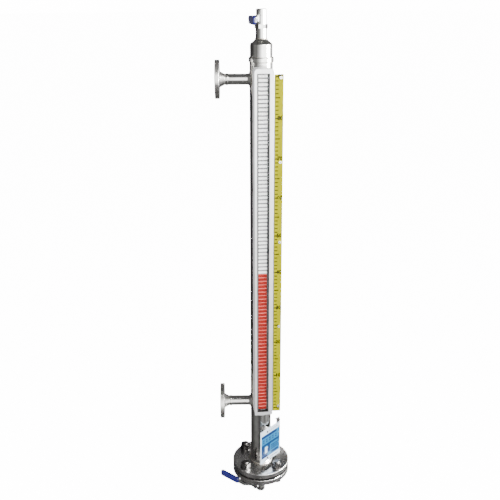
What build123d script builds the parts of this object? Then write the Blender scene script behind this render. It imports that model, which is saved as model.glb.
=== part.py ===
from build123d import *
import os
from math import sqrt

# Magnetic level gauge: a side-mounted float chamber with a flap indicator and a ruler.
# Millimetres, +Z up. The origin is the centre of the lower side flange's sealing face;
# the chamber's axis stands at X = REACH and the flanges face -X. The pieces are drawn
# about the chamber's own axis and moved out to it when they are saved.
# Inside a valve, Z runs from its inlet to its outlet, X along its stem and Y along its
# closed lever. Inside the indicator and the nameplate, -Y is the front.

# ---- Chamber -------------------------------------------------------------------------
CONNECTION_SPACING = 900.0
REACH = 113.5
TUBE_RADIUS = 28.5
TUBE_WALL = 2.5
TUBE_RISE = 47.5
TUBE_DROP = 204.5
TUBE_SETBACK = 3.0
WELD_LEG = 5.0

# ---- Side flanges and nozzles --------------------------------------------------------
FLANGE_BOLTS = 4
NOZZLE_RADIUS = 13.5
NOZZLE_BORE_RADIUS = 11.0
NOZZLE_BEAD = 1.0
NOZZLE_BEAD_LENGTH = 7.0
NOZZLE_BEAD_SLOPE = 2.0
NOZZLE_BEAD_ROUND = 1.5
NOZZLE_FLARE = 4.5
NOZZLE_FLARE_ROUND = 6.0
NOZZLE_ENTRY = 2.0
SIDE_FLANGE_RADIUS = 47.5
SIDE_FLANGE_THICK = 12.0
SIDE_HUB_RADIUS = 20.0
SIDE_HUB_LENGTH = 14.0
SIDE_BOLT_CIRCLE = 65.0
SIDE_BOLT_HOLE_RADIUS = 7.0
SIDE_EDGE_ROUND = 2.0
SIDE_HUB_ROOT_ROUND = 3.0
SIDE_HUB_TIP_ROUND = 4.0
SIDE_HUB_STRAIGHT = 2.0

# ---- Bottom flange pair --------------------------------------------------------------
END_FLANGE_RADIUS = 80.0
END_FLANGE_THICK = 14.0
END_EDGE_ROUND = 1.0
RAISED_FACE_RADIUS = 51.0
RAISED_FACE = 2.0
GASKET_THICK = 2.0
END_BOLT_CIRCLE = 125.0
END_BOLT_HOLE_RADIUS = 9.0
BOLT_RADIUS = 8.0
BOLT_HEX = 24.0
BOLT_HEAD = 10.0
NUT_HEIGHT = 13.0
BOLT_TIP = 4.0
BOLT_TIP_ROUND = 1.5
WASHER_RADIUS = 15.0
WASHER_THICK = 3.0

# ---- Closed top ----------------------------------------------------------------------
COLLAR_RADIUS = 30.7
COLLAR_HEIGHT = 11.7
COLLAR_FOOT_ROUND = 1.8
COLLAR_TOP_ROUND = 2.6
CAP_RADIUS = 27.5
CAP_WALL = 3.0
CAP_HEIGHT = 50.0
CAP_SHOULDER_HEIGHT = 13.0
CAP_SHOULDER_ROUND = 4.0
CAP_NECK_WIDTH = 4.0
CAP_NECK_HEIGHT = 5.0
CAP_NECK_ROUND = 5.0
CAP_SEAT_WIDTH = 3.0
CAP_SEAT_ROUND = 2.0
NIPPLE_SOCKET = 6.0

# ---- Nipples and ball valves ---------------------------------------------------------
NIPPLE_RADIUS = 13.6
NIPPLE_BORE_RADIUS = 7.5
VENT_NIPPLE_LENGTH = 23.0
DRAIN_NIPPLE_LENGTH = 28.0
INLET_RADIUS = 10.48
INLET_DEPTH = 12.0
OUTLET_RADIUS = 8.33
OUTLET_DEPTH = 11.0
VALVE_HEX = 28.0
VALVE_HEX_HEIGHT = 10.0
VALVE_RADIUS = 12.7
VALVE_BODY_LENGTH = 31.0
VALVE_EDGE_ROUND = 0.6
END_PIECE_RADIUS = 12.5
END_PIECE_LENGTH = 15.0
END_PIECE_ROUND = 2.1
END_THREAD_RADIUS = 10.2
END_THREAD_LENGTH = 4.5
STEM_LEVEL = 23.5
BALL_RADIUS = 7.5
BALL_END_GAP = 1.0
PORT_RADIUS = 4.5
SEAT_RADIUS = 9.0
SEAT_THICK = 4.0
SEAT_CLEARANCE = 0.1
STEM_RADIUS = 3.0
STEM_CLEARANCE = 0.05
STEM_FLATS = 4.2
TANG_THICK = 3.0
TANG_LENGTH = 5.0
SLOT_DEPTH = 2.25
BOSS_RADIUS = 7.5
BOSS_REACH = 17.0
PACKING_SPIGOT = 4.0
PACKING_SPIGOT_RADIUS = 5.0
PACKING_HEX = 12.0
PACKING_HEAD = 4.6
LEVER_GAP = 0.4
LEVER_THICK = 2.5
LEVER_WIDTH = 14.0
LEVER_LENGTH = 118.0
LEVER_CRANK = 12.5
LEVER_CRANK_START = 18.0
LEVER_CRANK_RUN = 18.0
LEVER_TAIL = 8.0
LEVER_BEND = 5.0
SLEEVE_LENGTH = 67.0
SLEEVE_WIDTH = 19.5
SLEEVE_THICK = 8.0
SLEEVE_END = 3.0
SLEEVE_CORNER = 6.8
SLEEVE_EDGE = 2.4
LEVER_NUT_HEX = 10.0
LEVER_NUT_HEIGHT = 5.0
STEM_TIP = 2.0
VENT_STEM_DIRECTION = 188.0
DRAIN_STEM_DIRECTION = 231.0

# ---- Float ---------------------------------------------------------------------------
FLOAT_RADIUS = 22.0
FLOAT_WALL = 0.6
FLOAT_TUBE_LENGTH = 170.0
FLOAT_CAP_HEIGHT = 15.0
FLOAT_CAP_ROUND = 10.0
FLOAT_ABOVE_LEVEL = 42.0
MAGNET_HEIGHT = 20.0
MAGNET_BORE_RADIUS = 15.0
BUFFER_HEIGHT = 20.0
BUFFER_WALL = 10.0
BUFFER_EDGE = 1.0

# ---- Indicator -----------------------------------------------------------------------
INDICATOR_TURN = 5.0
INDICATOR_SHIFT = 1.0
HOUSING_WIDTH = 48.0
HOUSING_BACK = 34.0
HOUSING_FRONT = 72.0
HOUSING_WALL = 2.0
HOUSING_CORNER = 8.0
HOUSING_FOOT_CORNER = 2.5
HOUSING_FOOT_RIM = 9.5
HOUSING_HEAD_RIM = 11.0
BEZEL_THICK = 2.5
BEZEL_EDGE = 0.6
JAMB_WALL = 1.5
WINDOW_WIDTH = 31.0
WINDOW_SHIFT = 2.0
WINDOW_MARGIN = 2.0
GLASS_THICK = 2.0
GLASS_SETBACK = 3.5
FLAP_PITCH = 10.0
FLAP_WIDTH = 21.5
FLAP_HEIGHT = 9.4
FLAP_THICK = 2.8
FLAP_BEVEL = 1.1
FLAP_STANDOFF = 60.0
FLAP_FOOT = 9.5
RED_FLAPS = 40
PIN_SIZE = 1.4
PIN_LENGTH = 2.3
PIN_CLEARANCE = 0.1
INSERT_FRONT = 63.0
INSERT_BACK_WALL = 2.0
INSERT_TOP_GAP = 1.5
FLAP_SIDE_GAP = 0.2
MOUNT_BAR_WIDTH = 18.0
MOUNT_BAR_BELOW = 26.0
MOUNT_SCREW_RADIUS = 2.5
MOUNT_SCREW_HEAD_RADIUS = 4.5
MOUNT_SCREW_HEAD = 3.0
MOUNT_SCREW_GRIP = 4.0
MOUNT_SCREWS = 5
MOUNT_SCREW_MARGIN = 30.0

# ---- Ruler ---------------------------------------------------------------------------
RULER_GAP = 3.4
RULER_WIDTH = 19.8
RULER_THICK = 1.0
RULER_FRONT = 63.0
RULER_FOOT = 2.4
RULER_OVERLENGTH = 15.8
BRACKET_WALL = 1.3
BRACKET_LEG = 20.0
BRACKET_RIVET_INSET = 12.0
RULER_SCREW_RADIUS = 2.0
RULER_SCREW_HEAD_RADIUS = 3.5
RULER_SCREW_HEAD = 2.0
RULER_SCREW_LENGTH = 6.0
RULER_SCREW_INSET = 6.4
RULER_SCREW_SHARES = (0.018, 0.281, 0.539, 0.767, 0.992)
RIVET_RADIUS = 1.6
RIVET_HEAD_RADIUS = 3.0
RIVET_HEAD = 1.0
BRACKET_RIVETS = 4
BRACKET_RIVET_MARGIN = 60.0

# ---- Nameplate -----------------------------------------------------------------------
PLATE_TURN = 45.0
PLATE_WIDTH = 81.0
PLATE_SHIFT = 1.5
PLATE_HEIGHT = 105.0
PLATE_DROP = 70.0
PLATE_THICK = 1.0
PLATE_STANDOFF = 39.0
PLATE_CORNER = 1.5
PLATE_BRACKET_WALL = 1.5
PLATE_BRACKET_WIDTH = 20.0
PLATE_BRACKET_SHIFT = 14.0
PLATE_BRACKET_INSET = 4.0
PLATE_RIVET_INSET = 10.0
EAR_OFFSET = 32.0
EAR_WIDTH = 12.0
EAR_RISE = 14.0
EAR_SCREW_RADIUS = 2.5
EAR_SCREW_HEX = 9.0
EAR_SCREW_HEAD = 4.0
EAR_SCREW_LENGTH = 8.0

# ---- Worked out from the above -------------------------------------------------------
TUBE_BORE_RADIUS = TUBE_RADIUS - TUBE_WALL
TUBE_TOP = CONNECTION_SPACING + TUBE_RISE
TUBE_FOOT = -TUBE_DROP
COLLAR_FOOT = TUBE_TOP - COLLAR_HEIGHT / 2
COLLAR_TOP = COLLAR_FOOT + COLLAR_HEIGHT
CAP_TOP = TUBE_TOP + CAP_HEIGHT
CAP_SHOULDER = CAP_TOP - CAP_SHOULDER_HEIGHT
VENT_NIPPLE_FOOT = CAP_TOP - NIPPLE_SOCKET
VENT_INLET = CAP_TOP + VENT_NIPPLE_LENGTH
GASKET_TOP = TUBE_FOOT - TUBE_SETBACK
END_FLANGE_FOOT = GASKET_TOP + RAISED_FACE
END_FLANGE_TOP = END_FLANGE_FOOT + END_FLANGE_THICK
GASKET_FOOT = GASKET_TOP - GASKET_THICK
BLIND_TOP = GASKET_FOOT - RAISED_FACE
BLIND_FOOT = BLIND_TOP - END_FLANGE_THICK
DRAIN_INLET = BLIND_FOOT - DRAIN_NIPPLE_LENGTH
BALL_CHAMBER_FOOT = STEM_LEVEL - BALL_RADIUS - BALL_END_GAP
BALL_CHAMBER_TOP = STEM_LEVEL + BALL_RADIUS + BALL_END_GAP
VALVE_LENGTH = VALVE_BODY_LENGTH + END_PIECE_LENGTH
LEVER_BACK = BOSS_REACH + PACKING_HEAD + LEVER_GAP
LEVER_FACE = LEVER_BACK + LEVER_THICK
SLEEVE_MIDDLE = LEVER_BACK + LEVER_THICK / 2 + LEVER_CRANK
FLAP_COUNT = int(CONNECTION_SPACING / FLAP_PITCH) + 1
LEVEL = FLAP_FOOT + RED_FLAPS * FLAP_PITCH
FLAP_HEAD = FLAP_FOOT + FLAP_COUNT * FLAP_PITCH
WINDOW_FOOT = FLAP_FOOT - WINDOW_MARGIN
WINDOW_HEAD = FLAP_HEAD + WINDOW_MARGIN
HOUSING_FOOT = WINDOW_FOOT - HOUSING_FOOT_RIM
HOUSING_HEAD = WINDOW_HEAD + HOUSING_HEAD_RIM
BEZEL_BACK = HOUSING_FRONT - BEZEL_THICK
INSERT_WIDTH = WINDOW_WIDTH + 2 * JAMB_WALL
FLOAT_HEAD = LEVEL + FLOAT_ABOVE_LEVEL
FLOAT_TUBE_HEAD = FLOAT_HEAD - FLOAT_CAP_HEIGHT
FLOAT_TUBE_FOOT = FLOAT_TUBE_HEAD - FLOAT_TUBE_LENGTH
RULER_LENGTH = CONNECTION_SPACING + RULER_OVERLENGTH
RULER_LEFT = HOUSING_WIDTH / 2 + RULER_GAP
BRACKET_FRONT = RULER_FRONT - RULER_THICK
PLATE_BACK = PLATE_STANDOFF - PLATE_THICK
PLATE_TOP = -PLATE_DROP
PLATE_FOOT = PLATE_TOP - PLATE_HEIGHT

UPRIGHT = (Align.CENTER, Align.CENTER, Align.MIN)


# ---- Shared shapes -------------------------------------------------------------------
def turned(*corners):
    """Solid turned about Z from (radius, height) corners; a third value rounds one."""
    points = [(corner[0], 0, corner[1]) for corner in corners]
    rounds = [corner[2] if len(corner) > 2 else 0 for corner in corners]
    return revolve(make_face(FilletPolyline(*points, radius=rounds, close=True)), Axis.Z)


def ring(outer, inner, foot, head, edge=0):
    """Plain ring about Z, its outer edges rounded."""
    return turned((inner, foot), (outer, foot, edge), (outer, head, edge), (inner, head))


def rod(radius, foot, head):
    """Solid cylinder about Z."""
    return Pos(0, 0, foot) * Cylinder(radius, head - foot, align=UPRIGHT)


def bar(width, back, front, foot, head, offset=0):
    """Upright block facing -Y: its faces stand `back` and `front` off the axis."""
    size = (width, front - back, head - foot)
    return Pos(offset, -(back + front) / 2, foot) * Box(*size, align=UPRIGHT)


def hexagon(across, foot, head, chamfered=False):
    """Hexagonal prism about Z, with the corners of its head turned off if chamfered."""
    side = RegularPolygon(across / 2, 6, major_radius=False)
    prism = Pos(0, 0, foot) * extrude(side, head - foot)
    if not chamfered:
        return prism
    corner = across / sqrt(3)
    cut = (corner - across / 2) / sqrt(3)
    flat = (across / 2, head)
    return prism & turned((0, foot), (corner, foot), (corner, head - cut), flat, (0, head))


def to_front(shape, standoff):
    """Turns a shape drawn along Z to point along -Y from a stand-off."""
    return Pos(0, -standoff, 0) * Rot(90, 0, 0) * shape


def round_bolts(count, circle, shape):
    """Copies of a shape on a bolt circle, straddling the centre lines."""
    step = 360 / count
    return [Rot(0, 0, step * (i + 0.5)) * Pos(circle / 2, 0, 0) * shape for i in range(count)]


def levels(foot, head, count):
    """Evenly spaced heights from foot to head."""
    return [foot + (head - foot) * i / (count - 1) for i in range(count)]


def group(shapes):
    """Like pieces that share one node."""
    return Compound(children=list(shapes))


# ---- Chamber -------------------------------------------------------------------------
def chamber_tube():
    """Tube with an opening for each side nozzle."""
    tube = ring(TUBE_RADIUS, TUBE_BORE_RADIUS, TUBE_FOOT, TUBE_TOP)
    opening = Rot(0, -90, 0) * rod(NOZZLE_BORE_RADIUS, 0, TUBE_RADIUS * 2)
    return tube - opening - Pos(0, 0, CONNECTION_SPACING) * opening


def side_flange():
    """Weld-neck flange drawn on its face, its neck pointing up."""
    neck = SIDE_FLANGE_THICK + SIDE_HUB_LENGTH
    shape = turned(
        (NOZZLE_BORE_RADIUS, 0),
        (SIDE_FLANGE_RADIUS, 0, SIDE_EDGE_ROUND),
        (SIDE_FLANGE_RADIUS, SIDE_FLANGE_THICK, SIDE_EDGE_ROUND),
        (SIDE_HUB_RADIUS, SIDE_FLANGE_THICK, SIDE_HUB_ROOT_ROUND),
        (NOZZLE_RADIUS, neck - SIDE_HUB_STRAIGHT, SIDE_HUB_TIP_ROUND),
        (NOZZLE_RADIUS, neck),
        (NOZZLE_BORE_RADIUS, neck),
    )
    hole = rod(SIDE_BOLT_HOLE_RADIUS, 0, SIDE_FLANGE_THICK)
    return shape - round_bolts(FLANGE_BOLTS, SIDE_BOLT_CIRCLE, hole)


def side_nozzle():
    """Pipe from the flange's neck to the chamber, drawn from the flange's face up."""
    start = SIDE_FLANGE_THICK + SIDE_HUB_LENGTH
    bead = start + NOZZLE_BEAD_LENGTH
    weld = REACH - TUBE_RADIUS
    root = REACH - TUBE_BORE_RADIUS
    shape = turned(
        (NOZZLE_BORE_RADIUS, start),
        (NOZZLE_RADIUS, start),
        (NOZZLE_RADIUS + NOZZLE_BEAD, start + NOZZLE_BEAD_SLOPE, NOZZLE_BEAD_ROUND),
        (NOZZLE_RADIUS + NOZZLE_BEAD, bead - NOZZLE_BEAD_SLOPE, NOZZLE_BEAD_ROUND),
        (NOZZLE_RADIUS, bead, NOZZLE_BEAD_ROUND),
        (NOZZLE_RADIUS, weld - NOZZLE_FLARE, NOZZLE_FLARE_ROUND),
        (NOZZLE_RADIUS + NOZZLE_FLARE, root + NOZZLE_ENTRY),
        (NOZZLE_BORE_RADIUS, root + NOZZLE_ENTRY),
    )
    chamber = Pos(0, 0, REACH) * Rot(0, 90, 0) * Cylinder(TUBE_RADIUS, TUBE_RADIUS * 4)
    return shape - chamber


def to_side(shape, level):
    """Puts a shape drawn on the flange's face, pointing up, at a connection's level."""
    return Pos(-REACH, 0, level) * Rot(0, 90, 0) * shape


def top_collar():
    """Sleeve that joins the tube to the narrower cap."""
    return turned(
        (TUBE_RADIUS, COLLAR_FOOT),
        (COLLAR_RADIUS, COLLAR_FOOT, COLLAR_FOOT_ROUND),
        (COLLAR_RADIUS, COLLAR_TOP, COLLAR_TOP_ROUND),
        (CAP_RADIUS, COLLAR_TOP),
        (CAP_RADIUS, TUBE_TOP),
        (TUBE_RADIUS, TUBE_TOP),
    )


def top_cap():
    """Drawn cap with a sloping shoulder and a hole for the vent nipple."""
    inner = CAP_RADIUS - CAP_WALL
    return turned(
        (CAP_RADIUS, TUBE_TOP),
        (CAP_RADIUS, CAP_SHOULDER, CAP_SHOULDER_ROUND),
        (NIPPLE_RADIUS + CAP_NECK_WIDTH, CAP_TOP - CAP_NECK_HEIGHT, CAP_NECK_ROUND),
        (NIPPLE_RADIUS, CAP_TOP),
        (NIPPLE_RADIUS, VENT_NIPPLE_FOOT - CAP_WALL),
        (NIPPLE_RADIUS + CAP_SEAT_WIDTH, VENT_NIPPLE_FOOT - CAP_WALL, CAP_SEAT_ROUND),
        (inner, CAP_SHOULDER - CAP_WALL, CAP_WALL),
        (inner, TUBE_TOP),
    )


def nipple(foot, shoulder):
    """Short pipe up to a shoulder, with a thread end that enters the valve."""
    tip = shoulder + INLET_DEPTH
    return turned(
        (NIPPLE_BORE_RADIUS, foot),
        (NIPPLE_RADIUS, foot),
        (NIPPLE_RADIUS, shoulder),
        (INLET_RADIUS, shoulder),
        (INLET_RADIUS, tip),
        (NIPPLE_BORE_RADIUS, tip),
    )


# ---- Bottom flange pair --------------------------------------------------------------
def end_flange():
    """Slip-on flange: the tube stands in it on a weld, its raised face looks down."""
    shape = turned(
        (TUBE_RADIUS, GASKET_TOP),
        (RAISED_FACE_RADIUS, GASKET_TOP),
        (RAISED_FACE_RADIUS, END_FLANGE_FOOT),
        (END_FLANGE_RADIUS, END_FLANGE_FOOT, END_EDGE_ROUND),
        (END_FLANGE_RADIUS, END_FLANGE_TOP, END_EDGE_ROUND),
        (TUBE_RADIUS + WELD_LEG, END_FLANGE_TOP),
        (TUBE_RADIUS, END_FLANGE_TOP + WELD_LEG),
    )
    hole = rod(END_BOLT_HOLE_RADIUS, END_FLANGE_FOOT, END_FLANGE_TOP)
    return shape - round_bolts(FLANGE_BOLTS, END_BOLT_CIRCLE, hole)


def blind_flange():
    """Plate that closes the chamber, with a hole for the drain nipple."""
    shape = turned(
        (NIPPLE_RADIUS, BLIND_FOOT),
        (END_FLANGE_RADIUS, BLIND_FOOT, END_EDGE_ROUND),
        (END_FLANGE_RADIUS, BLIND_TOP, END_EDGE_ROUND),
        (RAISED_FACE_RADIUS, BLIND_TOP),
        (RAISED_FACE_RADIUS, GASKET_FOOT),
        (NIPPLE_RADIUS, GASKET_FOOT),
    )
    hole = rod(END_BOLT_HOLE_RADIUS, BLIND_FOOT, BLIND_TOP)
    return shape - round_bolts(FLANGE_BOLTS, END_BOLT_CIRCLE, hole)


def flange_bolt():
    """Hexagon bolt, its head under the blind flange."""
    tip = END_FLANGE_TOP + WASHER_THICK + NUT_HEIGHT + BOLT_TIP
    shank = turned((0, BLIND_FOOT), (BOLT_RADIUS, BLIND_FOOT), (BOLT_RADIUS, tip, BOLT_TIP_ROUND), (0, tip))
    head = hexagon(BOLT_HEX, -BLIND_FOOT, -BLIND_FOOT + BOLT_HEAD, chamfered=True)
    return shank + Rot(180, 0, 0) * head


def flange_washer():
    """Plain washer on the upper flange."""
    return ring(WASHER_RADIUS, BOLT_RADIUS, END_FLANGE_TOP, END_FLANGE_TOP + WASHER_THICK)


def flange_nut():
    """Hexagon nut on the washer."""
    foot = END_FLANGE_TOP + WASHER_THICK
    head = foot + NUT_HEIGHT
    return hexagon(BOLT_HEX, foot, head, chamfered=True) - rod(BOLT_RADIUS, foot, head)


# ---- Ball valves ---------------------------------------------------------------------
def along_stem(shape):
    """Turns a shape drawn along Z to point along the stem."""
    return Pos(0, 0, STEM_LEVEL) * Rot(0, 90, 0) * shape


def valve_body():
    """Hexagon inlet, round body and stem boss, bored for thread, seat, ball and stem."""
    outside = turned(
        (0, VALVE_HEX_HEIGHT / 2),
        (VALVE_RADIUS, VALVE_HEX_HEIGHT / 2),
        (VALVE_RADIUS, VALVE_BODY_LENGTH, VALVE_EDGE_ROUND),
        (0, VALVE_BODY_LENGTH),
    )
    collar = Rot(180, 0, 0) * hexagon(VALVE_HEX, -VALVE_HEX_HEIGHT, 0, chamfered=True)
    boss = along_stem(rod(BOSS_RADIUS, 0, BOSS_REACH))
    bored = turned(
        (0, 0),
        (INLET_RADIUS, 0),
        (INLET_RADIUS, INLET_DEPTH),
        (PORT_RADIUS, INLET_DEPTH),
        (PORT_RADIUS, BALL_CHAMBER_FOOT),
        (SEAT_RADIUS, BALL_CHAMBER_FOOT),
        (SEAT_RADIUS, VALVE_BODY_LENGTH - END_THREAD_LENGTH),
        (END_THREAD_RADIUS, VALVE_BODY_LENGTH - END_THREAD_LENGTH),
        (END_THREAD_RADIUS, VALVE_BODY_LENGTH),
        (0, VALVE_BODY_LENGTH),
    )
    stem_hole = rod(STEM_RADIUS + STEM_CLEARANCE, 0, BOSS_REACH)
    packing_seat = rod(PACKING_SPIGOT_RADIUS, BOSS_REACH - PACKING_SPIGOT, BOSS_REACH)
    return outside + collar + boss - bored - along_stem(stem_hole + packing_seat)


def valve_end_piece():
    """Screwed-in end with the outer seat's recess and the outlet thread."""
    spigot = VALVE_BODY_LENGTH - END_THREAD_LENGTH
    port = VALVE_LENGTH - OUTLET_DEPTH
    return turned(
        (SEAT_RADIUS, spigot),
        (END_THREAD_RADIUS, spigot),
        (END_THREAD_RADIUS, VALVE_BODY_LENGTH),
        (END_PIECE_RADIUS, VALVE_BODY_LENGTH, VALVE_EDGE_ROUND),
        (END_PIECE_RADIUS, VALVE_LENGTH, END_PIECE_ROUND),
        (OUTLET_RADIUS, VALVE_LENGTH, VALVE_EDGE_ROUND),
        (OUTLET_RADIUS, port),
        (PORT_RADIUS, port),
        (PORT_RADIUS, BALL_CHAMBER_TOP),
        (SEAT_RADIUS, BALL_CHAMBER_TOP),
    )


def valve_ball():
    """Ball with its port across the flow when closed, and a slot for the stem's tang."""
    port = Rot(90, 0, 0) * Cylinder(PORT_RADIUS, BALL_RADIUS * 2)
    slot = Pos(BALL_RADIUS, 0, 0) * Box(SLOT_DEPTH * 2, TANG_THICK, BALL_RADIUS * 2)
    return Pos(0, 0, STEM_LEVEL) * (Sphere(BALL_RADIUS) - port - slot)


def valve_seats():
    """Two seat rings hollowed to the ball."""
    ball = Pos(0, 0, STEM_LEVEL) * Sphere(BALL_RADIUS + SEAT_CLEARANCE)
    inner = ring(SEAT_RADIUS, PORT_RADIUS, BALL_CHAMBER_FOOT, BALL_CHAMBER_FOOT + SEAT_THICK)
    outer = ring(SEAT_RADIUS, PORT_RADIUS, BALL_CHAMBER_TOP - SEAT_THICK, BALL_CHAMBER_TOP)
    return group([inner - ball, outer - ball])


def stem_end(radius):
    """The stem's flattened outer end, which also cuts the lever's hole."""
    tip = LEVER_FACE + LEVER_NUT_HEIGHT + STEM_TIP
    flats = Pos(0, 0, LEVER_BACK) * Box(radius * 2, STEM_FLATS, tip - LEVER_BACK, align=UPRIGHT)
    return rod(radius, LEVER_BACK, tip) & flats


def valve_stem():
    """Stem with a tang in the ball's slot and a flattened threaded end."""
    slot_floor = BALL_RADIUS - SLOT_DEPTH
    shoulder = BALL_RADIUS + SEAT_CLEARANCE
    tang_size = (TANG_LENGTH, TANG_THICK, shoulder - slot_floor)
    tang = Pos(0, 0, slot_floor) * Box(*tang_size, align=UPRIGHT)
    return along_stem(tang + rod(STEM_RADIUS, shoulder, LEVER_BACK) + stem_end(STEM_RADIUS))


def packing_nut():
    """Gland nut screwed into the boss around the stem."""
    head = BOSS_REACH + PACKING_HEAD
    spigot = rod(PACKING_SPIGOT_RADIUS, BOSS_REACH - PACKING_SPIGOT, BOSS_REACH)
    hole = rod(STEM_RADIUS + STEM_CLEARANCE, BOSS_REACH - PACKING_SPIGOT, head)
    return along_stem(spigot + hexagon(PACKING_HEX, BOSS_REACH, head) - hole)


def lever_strip():
    """Cranked flat strip from behind the stem to the tip, drawn in X and Y."""
    middle = LEVER_BACK + LEVER_THICK / 2
    path = FilletPolyline(
        (middle, -LEVER_TAIL),
        (middle, LEVER_CRANK_START),
        (SLEEVE_MIDDLE, LEVER_CRANK_START + LEVER_CRANK_RUN),
        (SLEEVE_MIDDLE, LEVER_LENGTH),
        radius=LEVER_BEND,
    )
    side = offset(path, LEVER_THICK / 2, kind=Kind.INTERSECTION, side=Side.BOTH)
    return extrude(make_face(side), LEVER_WIDTH / 2, both=True)


def valve_lever():
    """Handle strip with rounded ends, fitted over the stem's flats."""
    reach = LEVER_LENGTH + LEVER_TAIL
    outline = SlotOverall(reach, LEVER_WIDTH, rotation=90)
    middle = (LEVER_LENGTH - LEVER_TAIL) / 2
    plan = Pos(0, middle, 0) * Rot(0, 90, 0) * extrude(outline, SLEEVE_MIDDLE * 2, both=True)
    hole = Rot(0, 90, 0) * stem_end(STEM_RADIUS)
    return Pos(0, 0, STEM_LEVEL) * ((lever_strip() & plan) - hole)


def valve_sleeve():
    """Plastic grip over the lever's outer part."""
    foot = LEVER_LENGTH + SLEEVE_END - SLEEVE_LENGTH
    solid = Box(SLEEVE_THICK, SLEEVE_LENGTH, SLEEVE_WIDTH, align=(Align.CENTER, Align.MIN, Align.CENTER))
    solid = fillet(solid.edges().filter_by(Axis.X), SLEEVE_CORNER)
    solid = fillet(solid.faces().sort_by(Axis.X)[-1].edges(), SLEEVE_EDGE)
    solid = fillet(solid.faces().sort_by(Axis.X)[0].edges(), SLEEVE_EDGE)
    return Pos(SLEEVE_MIDDLE, foot, STEM_LEVEL) * solid - valve_lever()


def lever_nut():
    """Nut that holds the lever on the stem."""
    head = LEVER_FACE + LEVER_NUT_HEIGHT
    return along_stem(hexagon(LEVER_NUT_HEX, LEVER_FACE, head) - rod(STEM_RADIUS, LEVER_FACE, head))


VALVE_PIECES = {
    "body": valve_body,
    "end_piece": valve_end_piece,
    "ball": valve_ball,
    "seats": valve_seats,
    "stem": valve_stem,
    "packing_nut": packing_nut,
    "lever": valve_lever,
    "sleeve": valve_sleeve,
    "lever_nut": lever_nut,
}
VENT_PLACE = Pos(0, 0, VENT_INLET) * Rot(0, 0, VENT_STEM_DIRECTION)
DRAIN_PLACE = Pos(0, 0, DRAIN_INLET) * Rot(0, 0, DRAIN_STEM_DIRECTION) * Rot(180, 0, 0)


# ---- Float ---------------------------------------------------------------------------
def float_tube():
    """Thin tube between the float's caps."""
    return ring(FLOAT_RADIUS, FLOAT_RADIUS - FLOAT_WALL, FLOAT_TUBE_FOOT, FLOAT_TUBE_HEAD)


def float_cap():
    """Dished cap drawn upright on its rim."""
    inner = FLOAT_RADIUS - FLOAT_WALL
    return turned(
        (FLOAT_RADIUS, 0),
        (FLOAT_RADIUS, FLOAT_CAP_HEIGHT, FLOAT_CAP_ROUND),
        (0, FLOAT_CAP_HEIGHT),
        (0, FLOAT_CAP_HEIGHT - FLOAT_WALL),
        (inner, FLOAT_CAP_HEIGHT - FLOAT_WALL, FLOAT_CAP_ROUND - FLOAT_WALL),
        (inner, 0),
    )


def float_magnet():
    """Ring magnet inside the float at the liquid's level."""
    outer = FLOAT_RADIUS - FLOAT_WALL
    return ring(outer, MAGNET_BORE_RADIUS, LEVEL - MAGNET_HEIGHT / 2, LEVEL + MAGNET_HEIGHT / 2)


def buffer(foot, seat_radius):
    """Cushion ring that stops the float at an end of its travel."""
    return ring(seat_radius, seat_radius - BUFFER_WALL, foot, foot + BUFFER_HEIGHT, BUFFER_EDGE)


# ---- Indicator -----------------------------------------------------------------------
def housing_outline(inset=0):
    """Front view of the housing, in X and Z, drawn in from its edge by an inset."""
    half = HOUSING_WIDTH / 2 - inset
    foot = HOUSING_FOOT + inset
    head = HOUSING_HEAD - inset
    top_round = HOUSING_CORNER - inset
    foot_round = HOUSING_FOOT_CORNER - inset
    corners = [(-half, 0, foot), (half, 0, foot), (half, 0, head), (-half, 0, head)]
    rounds = [foot_round, foot_round, top_round, top_round]
    return make_face(FilletPolyline(*corners, radius=rounds, close=True))


def window_outline(outset=0):
    """Front view of the window, drawn out from its edge by an outset."""
    half = WINDOW_WIDTH / 2 + outset
    foot = WINDOW_FOOT - outset
    head = WINDOW_HEAD + outset
    corners = [(-half, 0, foot), (half, 0, foot), (half, 0, head), (-half, 0, head)]
    return Pos(-WINDOW_SHIFT, 0, 0) * make_face(Polyline(*corners, close=True))


def front_slab(face, back, front):
    """Extrudes a front view between two stand-offs."""
    return extrude(Pos(0, -back, 0) * face, front - back, dir=(0, -1, 0))


def housing_box():
    """Welded sheet box, open at the front, with holes for its screws and rivets."""
    box = front_slab(housing_outline(), HOUSING_BACK, BEZEL_BACK)
    box -= front_slab(housing_outline(HOUSING_WALL), HOUSING_BACK + HOUSING_WALL, BEZEL_BACK)
    hole = to_front(rod(MOUNT_SCREW_RADIUS, 0, HOUSING_WALL), HOUSING_BACK)
    box -= [Pos(0, 0, level) * hole for level in mount_screw_levels()]
    rivet = rivet_shank()
    return box - [Pos(0, 0, level) * rivet for level in bracket_rivet_levels()]


def bezel():
    """Front frame whose window has walls that run back to the flap channel."""
    plate = front_slab(housing_outline(), BEZEL_BACK, HOUSING_FRONT)
    plate = chamfer(plate.faces().sort_by(Axis.Y)[0].edges(), BEZEL_EDGE)
    jambs = front_slab(window_outline(JAMB_WALL), INSERT_FRONT, BEZEL_BACK)
    return plate + jambs - front_slab(window_outline(), INSERT_FRONT, HOUSING_FRONT)


def window_glass():
    """Clear pane between the window's walls."""
    front = HOUSING_FRONT - GLASS_SETBACK
    return front_slab(window_outline(), front - GLASS_THICK, front)


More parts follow.
